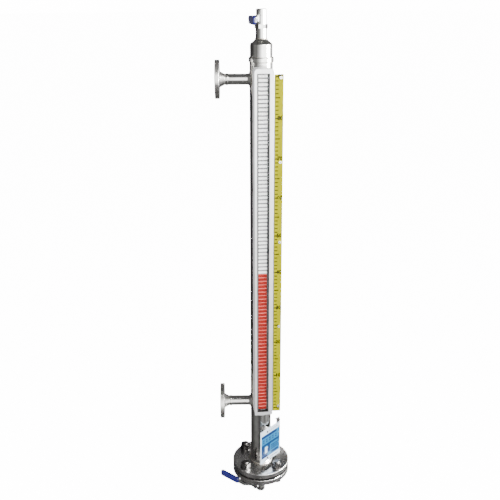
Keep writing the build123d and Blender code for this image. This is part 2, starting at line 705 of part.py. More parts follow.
def flap_channel():
    """Extruded channel whose sides carry the flaps' pins in a groove."""
    back = HOUSING_BACK + HOUSING_WALL
    foot = HOUSING_FOOT + HOUSING_WALL
    head = HOUSING_HEAD - HOUSING_WALL - INSERT_TOP_GAP
    middle = -WINDOW_SHIFT
    bay_width = FLAP_WIDTH + 2 * FLAP_SIDE_GAP
    shape = bar(INSERT_WIDTH, back, INSERT_FRONT, foot, head, middle)
    shape -= bar(bay_width, back + INSERT_BACK_WALL, INSERT_FRONT, foot, head, middle)
    half = PIN_SIZE / 2 + PIN_CLEARANCE
    groove_width = FLAP_WIDTH + 2 * (PIN_LENGTH + FLAP_SIDE_GAP)
    groove_foot = FLAP_FOOT + (FLAP_PITCH - PIN_SIZE) / 2
    shape -= bar(groove_width, FLAP_STANDOFF - half, FLAP_STANDOFF + half, groove_foot, head, middle)
    hole = to_front(rod(MOUNT_SCREW_RADIUS, 0, INSERT_BACK_WALL), back)
    return shape - [Pos(0, 0, level) * hole for level in mount_screw_levels()]


def flap():
    """One flap about its own axis: a bar with bevelled long edges and a pin at each end."""
    half = FLAP_HEIGHT / 2
    face = FLAP_THICK / 2
    shoulder = half - FLAP_BEVEL
    profile = Polyline(
        (0, face, -shoulder),
        (0, face, shoulder),
        (0, 0, half),
        (0, -face, shoulder),
        (0, -face, -shoulder),
        (0, 0, -half),
        close=True,
    )
    blade = extrude(make_face(profile), FLAP_WIDTH / 2, dir=(1, 0, 0), both=True)
    pins = Box(FLAP_WIDTH + 2 * PIN_LENGTH, PIN_SIZE, PIN_SIZE)
    return Pos(-WINDOW_SHIFT, -FLAP_STANDOFF, 0) * (blade + pins)


def flaps(first, last):
    """Flaps from one number up to another, counted from the bottom."""
    blade = flap()
    middle = FLAP_FOOT + FLAP_PITCH / 2
    return group(Pos(0, 0, middle + FLAP_PITCH * i) * blade for i in range(first, last))


def mount_bar():
    """Bar welded along the chamber, hollowed to it, that carries the housing."""
    foot = HOUSING_FOOT - MOUNT_BAR_BELOW
    head = HOUSING_HEAD - MOUNT_SCREW_MARGIN / 2
    shape = bar(MOUNT_BAR_WIDTH, TUBE_BORE_RADIUS, HOUSING_BACK, foot, head)
    shape -= Pos(INDICATOR_SHIFT, 0, 0) * rod(TUBE_RADIUS, foot, head)
    hole = to_front(rod(MOUNT_SCREW_RADIUS, 0, MOUNT_SCREW_GRIP), HOUSING_BACK - MOUNT_SCREW_GRIP)
    return shape - [Pos(0, 0, level) * hole for level in mount_screw_levels()]


def mount_screw_levels():
    """Heights of the screws through the housing's back."""
    foot = HOUSING_FOOT + MOUNT_SCREW_MARGIN
    return levels(foot, HOUSING_HEAD - MOUNT_SCREW_MARGIN, MOUNT_SCREWS)


def mount_screws():
    """Pan-head screws through the flap channel and the housing into the bar."""
    seat = HOUSING_WALL + INSERT_BACK_WALL
    shank = rod(MOUNT_SCREW_RADIUS, -MOUNT_SCREW_GRIP, seat)
    head = ring(MOUNT_SCREW_HEAD_RADIUS, 0, seat, seat + MOUNT_SCREW_HEAD, 0)
    screw = to_front(shank + head, HOUSING_BACK)
    return group(Pos(0, 0, level) * screw for level in mount_screw_levels())


# ---- Ruler ---------------------------------------------------------------------------
def ruler_head():
    """Top of the ruler."""
    return RULER_FOOT + RULER_LENGTH


def bracket_rivet_levels():
    """Heights of the rivets that hold the ruler's angle to the housing."""
    foot = RULER_FOOT + BRACKET_RIVET_MARGIN
    return levels(foot, ruler_head() - BRACKET_RIVET_MARGIN, BRACKET_RIVETS)


def to_housing_side(shape):
    """Turns a shape drawn along Z to point out of the housing's right side."""
    middle = BRACKET_FRONT - BRACKET_RIVET_INSET
    return Pos(HOUSING_WIDTH / 2, -middle, 0) * Rot(0, 90, 0) * shape


def rivet_shank():
    """Shank through the housing's wall and the angle."""
    return to_housing_side(rod(RIVET_RADIUS, -HOUSING_WALL, BRACKET_WALL))


def bracket_rivets():
    """Rivets with a head on each side."""
    outer = ring(RIVET_HEAD_RADIUS, 0, BRACKET_WALL, BRACKET_WALL + RIVET_HEAD)
    tail = ring(RIVET_HEAD_RADIUS, 0, -HOUSING_WALL - RIVET_HEAD, -HOUSING_WALL)
    rivet = rivet_shank() + to_housing_side(outer) + to_housing_side(tail)
    return group(Pos(0, 0, level) * rivet for level in bracket_rivet_levels())


def ruler_places(shape):
    """A shape drawn on the ruler's front, at each of its screws."""
    across = RULER_LEFT + RULER_WIDTH - RULER_SCREW_INSET
    spots = [RULER_FOOT + share * RULER_LENGTH for share in RULER_SCREW_SHARES]
    return [Pos(across, 0, level) * to_front(shape, RULER_FRONT) for level in spots]


def ruler_bracket():
    """Angle along the housing's side that the ruler lies on."""
    half = HOUSING_WIDTH / 2
    side = bar(BRACKET_WALL, BRACKET_FRONT - BRACKET_LEG, BRACKET_FRONT, RULER_FOOT, ruler_head())
    side = Pos(half + BRACKET_WALL / 2, 0, 0) * side
    width = RULER_GAP + RULER_WIDTH
    back = BRACKET_FRONT - BRACKET_WALL
    shelf = bar(width, back, BRACKET_FRONT, RULER_FOOT, ruler_head(), half + width / 2)
    shape = side + shelf - ruler_places(rod(RULER_SCREW_RADIUS, -RULER_SCREW_LENGTH, 0))
    rivet = rivet_shank()
    return shape - [Pos(0, 0, level) * rivet for level in bracket_rivet_levels()]


def ruler():
    """Graduated strip."""
    middle = RULER_LEFT + RULER_WIDTH / 2
    shape = bar(RULER_WIDTH, BRACKET_FRONT, RULER_FRONT, RULER_FOOT, ruler_head(), middle)
    return shape - ruler_places(rod(RULER_SCREW_RADIUS, -RULER_SCREW_LENGTH, 0))


def ruler_screws():
    """Screws through the ruler and its angle."""
    screw = rod(RULER_SCREW_RADIUS, -RULER_SCREW_LENGTH, 0)
    screw += ring(RULER_SCREW_HEAD_RADIUS, 0, 0, RULER_SCREW_HEAD, 0)
    return group(ruler_places(screw))


# ---- Nameplate -----------------------------------------------------------------------
def plate_rivet_places(shape):
    """A shape drawn on the plate's front, at each of its two rivets."""
    spots = [PLATE_TOP - PLATE_RIVET_INSET, PLATE_FOOT + PLATE_RIVET_INSET]
    return [Pos(-PLATE_BRACKET_SHIFT, 0, level) * to_front(shape, PLATE_STANDOFF) for level in spots]


def plate_rivet_shank():
    """Shank through the plate and its bracket."""
    return rod(RIVET_RADIUS, -PLATE_THICK - PLATE_BRACKET_WALL, 0)


def nameplate():
    """Thin plate with rounded corners and two rivet holes."""
    plate = bar(PLATE_WIDTH, PLATE_BACK, PLATE_STANDOFF, PLATE_FOOT, PLATE_TOP, -PLATE_SHIFT)
    plate = fillet(plate.edges().filter_by(Axis.Y), PLATE_CORNER)
    return plate - plate_rivet_places(plate_rivet_shank())


def nameplate_bracket():
    """Bent strip on two legs hollowed to the chamber, with an ear for the screw."""
    back = PLATE_BACK - PLATE_BRACKET_WALL
    foot = PLATE_FOOT + PLATE_BRACKET_INSET
    head = PLATE_TOP - PLATE_BRACKET_INSET
    width, across = PLATE_BRACKET_WIDTH, -PLATE_BRACKET_SHIFT
    strip = bar(width, back, PLATE_BACK, foot, head, across)
    inner = TUBE_RADIUS / 2
    strip += bar(width, inner, PLATE_BACK, foot, foot + PLATE_BRACKET_WALL, across)
    strip += bar(width, inner, PLATE_BACK, head - PLATE_BRACKET_WALL, head, across)
    left = across - width / 2
    right = EAR_OFFSET + EAR_WIDTH / 2
    arm_middle = (left + right) / 2
    strip += bar(right - left, back, PLATE_BACK, head - EAR_WIDTH, head, arm_middle)
    strip += bar(EAR_WIDTH, back, PLATE_BACK, head - EAR_WIDTH, PLATE_TOP + EAR_RISE, EAR_OFFSET)
    strip -= rod(TUBE_RADIUS, foot, head)
    strip -= ear_place(rod(EAR_SCREW_RADIUS, -EAR_SCREW_LENGTH, 0))
    return strip - plate_rivet_places(plate_rivet_shank())


def ear_place(shape):
    """A shape drawn on the ear's front."""
    return Pos(EAR_OFFSET, 0, PLATE_TOP + EAR_RISE / 2) * to_front(shape, PLATE_BACK)


def nameplate_rivets():
    """Two rivets with low heads."""
    rivet = plate_rivet_shank() + ring(RIVET_HEAD_RADIUS, 0, 0, RIVET_HEAD)
    return group(plate_rivet_places(rivet))


def ear_screw():
    """Dark hexagon screw in the bracket's ear."""
    screw = rod(EAR_SCREW_RADIUS, -EAR_SCREW_LENGTH, 0)
    return ear_place(screw + hexagon(EAR_SCREW_HEX, 0, EAR_SCREW_HEAD))


# ---- Writing the pieces --------------------------------------------------------------
def save(name, shape, turn=0):
    """Moves a piece from the chamber's axis to its place and writes it."""
    export_step(Pos(REACH, 0, 0) * Rot(0, 0, turn) * shape, f"parts/{name}.step")


def save_chamber():
    """Pressure parts between the two valves."""
    save("chamber_tube", chamber_tube())
    for name, level in (("lower", 0), ("upper", CONNECTION_SPACING)):
        save(f"{name}_flange", to_side(side_flange(), level))
        save(f"{name}_nozzle", to_side(side_nozzle(), level))
    save("top_collar", top_collar())
    save("top_cap", top_cap())
    save("vent_nipple", nipple(VENT_NIPPLE_FOOT, VENT_INLET))
    save("end_flange", end_flange())
    save("flange_gasket", ring(RAISED_FACE_RADIUS, TUBE_RADIUS, GASKET_FOOT, GASKET_TOP))
    save("blind_flange", blind_flange())
    save("flange_bolts", group(round_bolts(FLANGE_BOLTS, END_BOLT_CIRCLE, flange_bolt())))
    save("flange_washers", group(round_bolts(FLANGE_BOLTS, END_BOLT_CIRCLE, flange_washer())))
    save("flange_nuts", group(round_bolts(FLANGE_BOLTS, END_BOLT_CIRCLE, flange_nut())))
    save("drain_nipple", Rot(180, 0, 0) * nipple(-GASKET_FOOT, -DRAIN_INLET))


def save_valves():
    """The vent valve on top and the drain valve below, from the same pieces."""
    for name, shape in VALVE_PIECES.items():
        save(f"vent_{name}", VENT_PLACE * shape())
        save(f"drain_{name}", DRAIN_PLACE * shape())


def save_float():
    """Float and its end cushions."""
    save("float_tube", float_tube())
    save("float_top_cap", Pos(0, 0, FLOAT_TUBE_HEAD) * float_cap())
    save("float_bottom_cap", Pos(0, 0, FLOAT_TUBE_FOOT) * Rot(180, 0, 0) * float_cap())
    save("float_magnet", float_magnet())
    save("lower_buffer", buffer(GASKET_FOOT, TUBE_BORE_RADIUS))
    cap_bore = CAP_RADIUS - CAP_WALL
    save("upper_buffer", buffer(CAP_SHOULDER - CAP_WALL * 2 - BUFFER_HEIGHT, cap_bore))


def save_indicator():
    """Housing, flaps and ruler."""
    pieces = {
        "mount_bar": mount_bar(),
        "mount_screws": mount_screws(),
        "housing_box": housing_box(),
        "bezel": bezel(),
        "window_glass": window_glass(),
        "flap_channel": flap_channel(),
        "red_flaps": flaps(0, RED_FLAPS),
        "white_flaps": flaps(RED_FLAPS, FLAP_COUNT),
        "ruler_bracket": ruler_bracket(),
        "bracket_rivets": bracket_rivets(),
        "ruler": ruler(),
        "ruler_screws": ruler_screws(),
    }
    for name, shape in pieces.items():
        save(name, Pos(-INDICATOR_SHIFT, 0, 0) * shape, INDICATOR_TURN)


def save_nameplate():
    """Nameplate and what carries it."""
    pieces = {
        "nameplate": nameplate(),
        "nameplate_bracket": nameplate_bracket(),
        "nameplate_rivets": nameplate_rivets(),
        "ear_screw": ear_screw(),
    }
    for name, shape in pieces.items():
        save(name, shape, PLATE_TURN)


os.makedirs("parts", exist_ok=True)
save_chamber()
save_valves()
save_float()
save_indicator()
save_nameplate()
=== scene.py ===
"""Magnetic tank level gauge: finishes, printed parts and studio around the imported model."""

from __future__ import annotations

import logging
import math
from dataclasses import dataclass
from enum import Enum
from typing import Callable, Iterable, Sequence

import bmesh
import bpy
from mathutils import Matrix, Vector


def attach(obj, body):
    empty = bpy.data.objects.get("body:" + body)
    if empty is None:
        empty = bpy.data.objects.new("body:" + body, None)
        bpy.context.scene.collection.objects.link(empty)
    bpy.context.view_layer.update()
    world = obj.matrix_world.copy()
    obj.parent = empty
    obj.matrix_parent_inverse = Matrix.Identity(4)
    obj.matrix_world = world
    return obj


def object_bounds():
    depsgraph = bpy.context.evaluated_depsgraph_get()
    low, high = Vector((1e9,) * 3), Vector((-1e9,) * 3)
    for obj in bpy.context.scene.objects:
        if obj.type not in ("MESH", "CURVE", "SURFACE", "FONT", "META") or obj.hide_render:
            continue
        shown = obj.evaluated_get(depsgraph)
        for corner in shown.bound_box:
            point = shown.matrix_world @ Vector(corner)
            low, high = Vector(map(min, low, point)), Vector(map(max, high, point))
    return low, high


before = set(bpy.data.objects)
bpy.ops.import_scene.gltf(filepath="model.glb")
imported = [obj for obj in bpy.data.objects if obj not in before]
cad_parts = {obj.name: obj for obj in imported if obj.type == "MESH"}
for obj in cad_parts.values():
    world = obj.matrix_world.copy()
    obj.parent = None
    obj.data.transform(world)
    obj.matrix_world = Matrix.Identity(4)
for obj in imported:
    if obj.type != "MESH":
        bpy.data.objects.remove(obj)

Point = Sequence[float]
Colour = tuple[float, float, float]
Shares = tuple[float, float, float, float]
Socket = bpy.types.NodeSocket

log = logging.getLogger("gauge")
CAD_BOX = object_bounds()
MM = 0.001
UP = Vector((0.0, 0.0, 1.0))


class Body(Enum):
    """Bodies of the frame that added pieces ride on."""

    GAUGE = "gauge"


# ---- Places --------------------------------------------------------------------------
@dataclass(frozen=True)
class Place:
    """Upright frame on the chamber's axis: across, out to the front, and up, in millimetres."""

    turn: float = 0.0
    shift: float = 0.0
    reach: float = 113.5

    def point(self, across: float, out: float, up: float) -> Vector:
        """Turns local millimetres into metres.

        Args:
            across: distance to the right, seen from the front.
            out: distance from the axis to the front.
            up: height above the lower connection.

        Returns:
            The point in metres.
        """
        angle = math.radians(self.turn)
        x, y = across - self.shift, -out
        spun = Vector((
            x * math.cos(angle) - y * math.sin(angle),
            x * math.sin(angle) + y * math.cos(angle),
            up,
        ))
        return (spun + Vector((self.reach, 0.0, 0.0))) * MM

    def front(self) -> Vector:
        """Direction that the place's front looks in."""
        angle = math.radians(self.turn)
        return Vector((math.sin(angle), -math.cos(angle), 0.0))

    def matrix(self, across: float, out: float, up: float) -> Matrix:
        """Matrix that stands a flat drawing, X across and Y up, at a point of the place.

        Args:
            across: distance to the right, seen from the front.
            out: distance from the axis to the front.
            up: height above the lower connection.

        Returns:
            The matrix, in metres.
        """
        facing = self.front()
        matrix = Matrix((UP.cross(facing), UP, facing)).transposed().to_4x4()
        matrix.translation = self.point(across, out, up)
        return matrix


CHAMBER = Place()
INDICATOR = Place(turn=5.0, shift=1.0)
PLATE = Place(turn=45.0)


# ---- Node helpers --------------------------------------------------------------------
class Nodes:
    """Thin wrapper that adds and links shader nodes in one tree."""

    # Sockets of a mix node's colour form, which share their names with its other forms.
    MIX_SHARE, MIX_FIRST, MIX_SECOND, MIX_RESULT = 0, 6, 7, 2

    def __init__(self, tree: bpy.types.NodeTree) -> None:
        """Starts on a node tree."""
        self.tree = tree

    def add(self, kind: str, **values: object) -> bpy.types.Node:
        """Adds a node and sets its properties and inputs.

        Args:
            kind: the node's type name.
            values: properties by name, or inputs by their label with spaces as underscores.

        Returns:
            The new node.
        """
        node = self.tree.nodes.new(kind)
        for name, value in values.items():
            if hasattr(node, name):
                setattr(node, name, value)
            else:
                node.inputs[name.replace("_", " ")].default_value = value
        return node

    def link(self, source: Socket, target: Socket) -> None:
        """Joins an output to an input."""
        self.tree.links.new(source, target)

    def position(self) -> Socket:
        """Point in the object's own coordinates."""
        return self.add("ShaderNodeTexCoord").outputs["Object"]

    def maths(self, operation: str, first: Socket, second: Socket | float = 0.0) -> Socket:
        """One sum on values.

        Args:
            operation: the sum's name.
            first: first value.
            second: second value, a socket or a number.

        Returns:
            The result.
        """
        node = self.add("ShaderNodeMath", operation=operation)
        self.link(first, node.inputs[0])
        if isinstance(second, (int, float)):
            node.inputs[1].default_value = second
        else:
            self.link(second, node.inputs[1])
        return node.outputs[0]

    def scaled(self, source: Socket, scale: Point) -> Socket:
        """Coordinates stretched by a scale on each axis.

        Args:
            source: coordinates to stretch.
            scale: the three factors.

        Returns:
            The stretched coordinates.
        """
        mapping = self.add("ShaderNodeMapping")
        mapping.inputs["Scale"].default_value = scale
        self.link(source, mapping.inputs["Vector"])
        return mapping.outputs["Vector"]

    def noise(self, source: Socket, scale: float, detail: float = 4.0) -> Socket:
        """Noise over coordinates.

        Args:
            source: coordinates to sample at.
            scale: grains to the metre.
            detail: number of finer layers.

        Returns:
            The noise's value, from 0 to 1.
        """
        node = self.add("ShaderNodeTexNoise", Scale=scale, Detail=detail)
        self.link(source, node.inputs["Vector"])
        return node.outputs["Fac"]

    def spread(
        self, source: Socket, low: float, high: float, start: float = 0.3, end: float = 0.7
    ) -> Socket:
        """A value spread between two limits.

        Args:
            source: the value.
            low: result at the start and under.
            high: result at the end and over.
            start: value that gives the low result.
            end: value that gives the high result.

        Returns:
            The spread value.
        """
        node = self.add("ShaderNodeMapRange", interpolation_type="SMOOTHSTEP")
        limits = {"From Min": start, "From Max": end, "To Min": low, "To Max": high}
        for name, value in limits.items():
            node.inputs[name].default_value = value
        self.link(source, node.inputs["Value"])
        return node.outputs["Result"]

    def mix(self, share: Socket, first: Socket | Colour, second: Socket | Colour) -> Socket:
        """A colour between two, by a share.

        Args:
            share: 0 for the first colour, 1 for the second.
            first: first colour.
            second: second colour.

        Returns:
            The mixed colour.
        """
        node = self.add("ShaderNodeMix", data_type="RGBA")
        self.link(share, node.inputs[self.MIX_SHARE])
        for slot, colour in ((self.MIX_FIRST, first), (self.MIX_SECOND, second)):
            if isinstance(colour, tuple):
                node.inputs[slot].default_value = (*colour, 1.0)
            else:
                self.link(colour, node.inputs[slot])
        return node.outputs[self.MIX_RESULT]

    def bump(self, height: Socket, depth: float, strength: float) -> Socket:
        """Bump from a height.

        Args:
            height: height from 0 to 1.
            depth: depth of a full step, in metres.
            strength: how strongly it shows.

        Returns:
            The bumped normal.
        """
        node = self.add("ShaderNodeBump", Strength=strength, Distance=depth)
        self.link(height, node.inputs["Height"])
        return node.outputs["Normal"]

    def facing(self, direction: Point) -> Socket:
        """1 where the surface looks along a direction, less as it turns away.

        Args:
            direction: unit direction in the object's coordinates.

        Returns:
            The cosine of the angle between them.
        """
        node = self.add("ShaderNodeVectorMath", operation="DOT_PRODUCT")
        self.link(self.add("ShaderNodeTexCoord").outputs["Normal"], node.inputs[0])
        node.inputs[1].default_value = direction
        return node.outputs["Value"]


def new_material(name: str) -> tuple[bpy.types.Material, Nodes, bpy.types.Node]:
    """Creates a material with a plain surface shader.

    Args:
        name: the material's name.

    Returns:
        The material, its nodes and its surface shader.
    """
    material = bpy.data.materials.new(name)
    material.use_nodes = True
    nodes = Nodes(material.node_tree)
    return material, nodes, material.node_tree.nodes["Principled BSDF"]


# ---- Finishes ------------------------------------------------------------------------
class Grain(Enum):
    """Which way a metal's fine scratches run, as stretches of its noise on each axis."""

    UPRIGHT = (1400.0, 1400.0, 12.0)
    LEVEL = (60.0, 60.0, 1600.0)
    ALONG_PIPE = (20.0, 1400.0, 1400.0)
    CAST = (650.0, 650.0, 650.0)


@dataclass(frozen=True)
class MetalFinish:
    """Bare metal with scratches, cloudy roughness and a little stain."""

    name: str
    colour: Colour
    stain: Colour
    roughness: float
    spread: float
    grain: Grain = Grain.CAST
    scratch: float = 0.08
    depth: float = 0.02
    turned_axis: str = ""
    anisotropy: float = 0.0
    cloud_scale: float = 22.0

    def build(self) -> bpy.types.Material:
        """Builds the material.

        Returns:
            The metal.
        """
        material, nodes, shader = new_material(self.name)
        point = nodes.position()
        grain = nodes.noise(nodes.scaled(point, self.grain.value), 1.0)
        cloud = nodes.noise(point, self.cloud_scale)
        shader.inputs["Metallic"].default_value = 1.0
        tone = nodes.mix(nodes.spread(cloud, 0.0, 1.0), self.colour, self.stain)
        nodes.link(tone, shader.inputs["Base Color"])
        streaks = nodes.spread(grain, 0.0, self.spread)
        patches = nodes.spread(cloud, self.roughness, self.roughness + self.spread)
        nodes.link(nodes.maths("ADD", streaks, patches), shader.inputs["Roughness"])
        nodes.link(nodes.bump(grain, self.depth * MM, self.scratch), shader.inputs["Normal"])
        if self.turned_axis:
            tangent = nodes.add("ShaderNodeTangent", direction_type="RADIAL", axis=self.turned_axis)
            nodes.link(tangent.outputs[0], shader.inputs["Tangent"])
            shader.inputs["Anisotropic"].default_value = self.anisotropy
        return material


@dataclass(frozen=True)
class CoatFinish:
    """Paint, plastic or rubber: a coloured surface with slight mottling and orange peel; a recess
    colour paints shade on faces turned from the indicator's front.
    """

    name: str
    colour: Colour
    shade: Colour
    roughness: float
    peel: float = 0.1
    peel_scale: float = 900.0
    peel_depth: float = 0.05
    metallic: float = 0.0
    coat: float = 0.0
    sheen: float = 0.5
    # Painted shade: colour of faces turned away from the indicator's front, for the shade in its
    # window.
    recess: Colour | None = None
    recess_cosines: tuple[float, float] = (0.3, 0.9)
    cloud_scale: float = 30.0
    cloud_roughness: float = 0.1

    def build(self) -> bpy.types.Material:
        """Builds the material.

        Returns:
            The coat.
        """
        material, nodes, shader = new_material(self.name)
        point = nodes.position()
        cloud = nodes.noise(point, self.cloud_scale)
        peel = nodes.noise(point, self.peel_scale)
        shader.inputs["Metallic"].default_value = self.metallic
        shader.inputs["Coat Weight"].default_value = self.coat
        shader.inputs["Specular IOR Level"].default_value = self.sheen
        colour = nodes.mix(nodes.spread(cloud, 0.0, 1.0), self.colour, self.shade)
        # Painted shade: faces turned from the indicator's front blend to the recess colour, near
        # black.
        if self.recess:
            out = nodes.facing(tuple(INDICATOR.front()))
            shown = nodes.spread(out, 0.0, 1.0, *self.recess_cosines)
            colour = nodes.mix(shown, self.recess, colour)
        nodes.link(colour, shader.inputs["Base Color"])
        roughness = nodes.spread(cloud, self.roughness, self.roughness + self.cloud_roughness)
        nodes.link(roughness, shader.inputs["Roughness"])
        nodes.link(nodes.bump(peel, self.peel_depth * MM, self.peel), shader.inputs["Normal"])
        return material


@dataclass(frozen=True)
class SatinFinish(CoatFinish):
    """Sealed sheet metal, flatter than paint."""

    peel: float = 0.05
    peel_depth: float = 0.03


@dataclass(frozen=True)
class InkFinish(CoatFinish):
    """Flat printing ink with little sheen."""

    roughness: float = 0.3
    peel: float = 0.03
    sheen: float = 0.15


@dataclass(frozen=True)
class FlapFinish:
    """Moulded flap: one colour on the face that looks out, a third behind, and painted light on its
    rims and sides.
    """

    name: str
    face: Colour
    # Painted light: grey painted shade between the white flaps, a pink painted highlight on the red
    # flaps' top edges.
    rim: Colour
    back: Colour
    rim_start: float
    rim_blend: float = 0.03
    face_cosines: tuple[float, float] = (0.8, 0.95)
    back_cosines: tuple[float, float] = (-0.95, -0.8)
    wear: float = 0.88
    roughness: float = 0.34
    cloud_scale: float = 160.0
    cloud_roughness: float = 0.12
    depth: float = 0.05
    strength: float = 0.1
    sheen: float = 0.1
    pitch: float = 10.0
    first: float = 14.5
    spare_pitches: float = 2.0

    def rim_share(self, nodes: Nodes, point: Socket) -> Socket:
        """How far a point lies in the painted band at its flap's edges.

        Args:
            nodes: tree to build in.
            point: the point in the object's coordinates.

        Returns:
            0 on the face, 1 in the painted band at the edges.
        """
        half = 0.5
        split = nodes.add("ShaderNodeSeparateXYZ")
        nodes.link(point, split.inputs[0])
        turns = nodes.maths("MULTIPLY", split.outputs["Z"], 1.0 / (self.pitch * MM))
        offset = half - self.first / self.pitch + self.spare_pitches
        share = nodes.maths("FRACT", nodes.maths("ADD", turns, offset))
        away = nodes.maths("ABSOLUTE", nodes.maths("SUBTRACT", share, half))
        return nodes.spread(away, 0.0, 1.0, self.rim_start, self.rim_start + self.rim_blend)

    def build(self) -> bpy.types.Material:
        """Builds the material.

        Returns:
            The plastic.
        """
        material, nodes, shader = new_material(self.name)
        point = nodes.position()
        cloud = nodes.noise(point, self.cloud_scale)
        out = nodes.facing(tuple(INDICATOR.front()))
        worn = tuple(value * self.wear for value in self.face)
        face = nodes.mix(nodes.spread(cloud, 0.0, 1.0), self.face, worn)
        # Painted light: a band at each flap's edges takes the rim colour, set by height, not by the
        # flap's shape.
        front = nodes.mix(self.rim_share(nodes, point), face, self.rim)
        # Faces turned away from the front take the same painted rim colour.
        sides = nodes.mix(nodes.spread(out, 0.0, 1.0, *self.face_cosines), self.rim, front)
        whole = nodes.mix(nodes.spread(out, 1.0, 0.0, *self.back_cosines), sides, self.back)
        nodes.link(whole, shader.inputs["Base Color"])
        roughness = nodes.spread(cloud, self.roughness, self.roughness + self.cloud_roughness)
        nodes.link(roughness, shader.inputs["Roughness"])
        nodes.link(nodes.bump(cloud, self.depth * MM, self.strength), shader.inputs["Normal"])
        shader.inputs["Specular IOR Level"].default_value = self.sheen
        return material


@dataclass(frozen=True)
class PaneFinish:
    """Clear pane that shows only a faint sheen."""

    name: str
    colour: Colour
    opacity: float
    roughness: float
    smear_scale: float = 40.0
    smear_tint: float = 0.9
    depth: float = 0.02
    strength: float = 0.05

    def build(self) -> bpy.types.Material:
        """Builds the material.

        Returns:
            The pane.
        """
        material, nodes, shader = new_material(self.name)
        smear = nodes.noise(nodes.position(), self.smear_scale)
        roughness = nodes.spread(smear, self.roughness, self.roughness * 2)
        nodes.link(roughness, shader.inputs["Roughness"])
        tint = tuple(value * self.smear_tint for value in self.colour)
        nodes.link(nodes.mix(smear, self.colour, tint), shader.inputs["Base Color"])
        nodes.link(nodes.bump(smear, self.depth * MM, self.strength), shader.inputs["Normal"])
        shader.inputs["Alpha"].default_value = self.opacity
        return material


WHITE, RED = (0.92, 0.92, 0.91), (0.22, 0.008, 0.004)
# A row gives the name, the colours and then the numbers, in the order of its class's fields.
FINISHES = (
    MetalFinish("polished_tube", (0.72, 0.715, 0.69), (0.52, 0.515, 0.49), 0.07, 0.07,
                Grain.UPRIGHT),
    MetalFinish("polished_pipe", (0.72, 0.71, 0.69), (0.50, 0.49, 0.47), 0.08, 0.08,
                Grain.ALONG_PIPE),
    MetalFinish("turned_flange", (0.56, 0.55, 0.54), (0.38, 0.37, 0.36), 0.14, 0.10,
                scratch=0.1, depth=0.03, turned_axis="Z", anisotropy=0.75),
    MetalFinish("side_flange", (0.62, 0.61, 0.59), (0.46, 0.45, 0.43), 0.18, 0.12,
                scratch=0.15, depth=0.03),
    MetalFinish("dark_bolt", (0.16, 0.155, 0.15), (0.06, 0.06, 0.06), 0.18, 0.12, scratch=0.2),
    MetalFinish("weld_metal", (0.50, 0.48, 0.44), (0.34, 0.31, 0.27), 0.24, 0.15,
                scratch=0.3, depth=0.05),
    MetalFinish("cast_valve", (0.70, 0.70, 0.68), (0.52, 0.52, 0.50), 0.10, 0.10,
                scratch=0.25, depth=0.04),
    MetalFinish("dull_valve", (0.26, 0.26, 0.25), (0.12, 0.12, 0.12), 0.18, 0.12,
                scratch=0.25, depth=0.04),
    # Nameplate bracket darkened far below bare steel: painted shade behind the plate, with its
    # glints dimmed.
    MetalFinish("bracket_painted_shade", (0.07, 0.07, 0.07), (0.04, 0.04, 0.04), 0.3, 0.12, Grain.LEVEL),
    MetalFinish("bright_fastener", (0.80, 0.80, 0.78), (0.70, 0.70, 0.68), 0.2, 0.12),
    SatinFinish("housing_satin", (0.64, 0.64, 0.645), (0.56, 0.56, 0.565), 0.30, metallic=0.2),
    # The bezel's recess colour is painted shade on the window's inner walls.
    SatinFinish("bezel_satin", (0.70, 0.70, 0.705), (0.62, 0.62, 0.625), 0.30, metallic=0.8,
                recess=(0.03, 0.03, 0.03)),
    # Near-black channel and ruler shelf: painted shade, for the shadow beside the flaps and beside
    # the ruler.
    SatinFinish("channel_painted_shade", (0.05, 0.05, 0.05), (0.035, 0.035, 0.035), 0.45, metallic=0.3),
    # Flap rim colours are painted light: grey painted shade in the white flaps' gaps, a pink
    # painted highlight on the red flaps.
    FlapFinish("white_flap", WHITE, (0.26, 0.26, 0.26), RED, 0.27),
    FlapFinish("red_flap", RED, (0.66, 0.13, 0.11), WHITE, 0.42),
    CoatFinish("blue_grip", (0.010, 0.010, 0.095), (0.006, 0.006, 0.055), 0.16,
               peel=0.6, peel_scale=240.0, peel_depth=0.5, coat=0.4),
    CoatFinish("yellow_enamel", (0.185, 0.180, 0.0), (0.165, 0.160, 0.0), 0.4,
               peel=0.03, peel_depth=0.03, sheen=0.0),
    InkFinish("black_print", (0.004, 0.004, 0.0), (0.008, 0.008, 0.002), 0.5,
              peel=0.02, sheen=0.06),
    InkFinish("plate_white", (0.46, 0.53, 0.60), (0.40, 0.47, 0.55)),
    InkFinish("plate_sky", (0.0, 0.016, 0.07), (0.0, 0.012, 0.055)),
    InkFinish("plate_navy", (0.001, 0.002, 0.045), (0.001, 0.002, 0.035)),
    InkFinish("plate_pale", (0.012, 0.12, 0.25), (0.008, 0.10, 0.21)),
    InkFinish("dark_rivet", (0.05, 0.03, 0.04), (0.03, 0.02, 0.03), 0.4),
    CoatFinish("sheet_rubber", (0.015, 0.015, 0.015), (0.03, 0.03, 0.03), 0.7),
    CoatFinish("seat_polymer", (0.80, 0.80, 0.77), (0.74, 0.74, 0.71), 0.5),
    CoatFinish("ring_magnet", (0.05, 0.05, 0.055), (0.03, 0.03, 0.035), 0.45, metallic=0.6),
    PaneFinish("clear_pane", (0.03, 0.035, 0.035), 0.06, 0.05),
)
MATERIALS: dict[str, bpy.types.Material] = {finish.name: finish.build() for finish in FINISHES}

